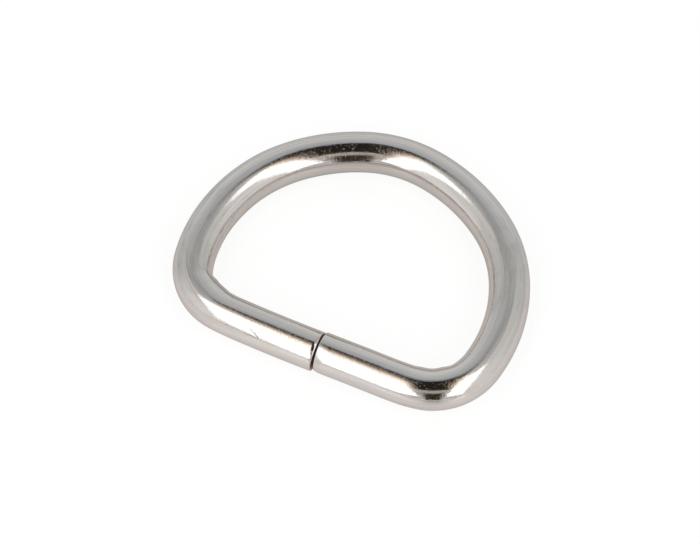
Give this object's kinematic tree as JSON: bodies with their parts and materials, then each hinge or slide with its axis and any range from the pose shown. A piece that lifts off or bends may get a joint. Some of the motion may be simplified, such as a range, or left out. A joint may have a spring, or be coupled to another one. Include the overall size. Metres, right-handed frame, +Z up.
{
  "type": "d ring",
  "caption": "Open D ring bent from round nickel-plated wire, with a straight bar for a strap and a rounded bow.",
  "frame": {"origin": "middle of the ring's outline seen from above, on the surface that it lies on", "axes": "+X along the straight bar, +Y from the bar towards the bow, +Z up out of the ring's plane"},
  "size_m": [0.0324, 0.0252, 0.0037],
  "materials": {
    "nickel_plate": "bright nickel plate on steel wire"
  },
  "bodies": {
    "root": {"wire_ring": "nickel_plate"}
  },
  "joints": []
}
